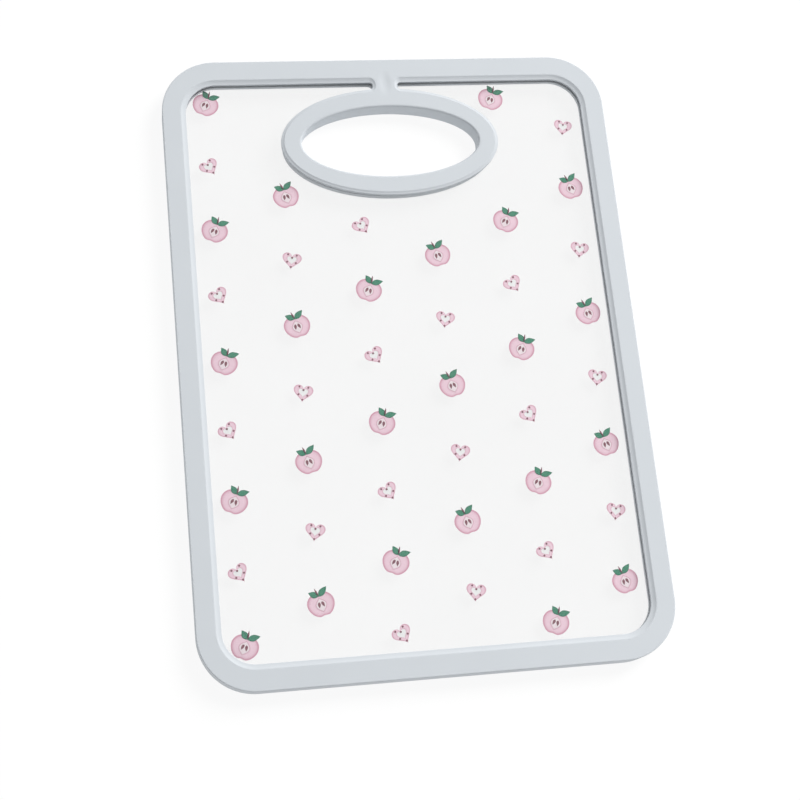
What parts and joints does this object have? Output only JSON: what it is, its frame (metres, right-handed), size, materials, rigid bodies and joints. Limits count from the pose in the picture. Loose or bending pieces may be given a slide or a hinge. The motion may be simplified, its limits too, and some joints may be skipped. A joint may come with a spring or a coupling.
{
  "type": "glass cutting board",
  "caption": "Rectangular cutting board of clear toughened glass with rounded corners, a moulded rim that grips the glass on both faces, an oval hand hole with a moulded ring, and a small print behind the glass.",
  "frame": {"origin": "under the middle of the board, on the surface that its back lies on", "axes": "+Z out of the printed front face, +Y along the length towards the hand hole, +X across the width"},
  "size_m": [0.25, 0.346, 0.011],
  "materials": {
    "rim_plastic": "satin moulded, pale blue-grey",
    "clear_glass": "polished, clear",
    "clear_film": "clear, with a small pink and green print on the side that faces the glass"
  },
  "bodies": {
    "root": {"rim_and_handle_moulding": "rim_plastic", "glass_panel": "clear_glass", "printed_backing_film": "clear_film"}
  },
  "joints": []
}
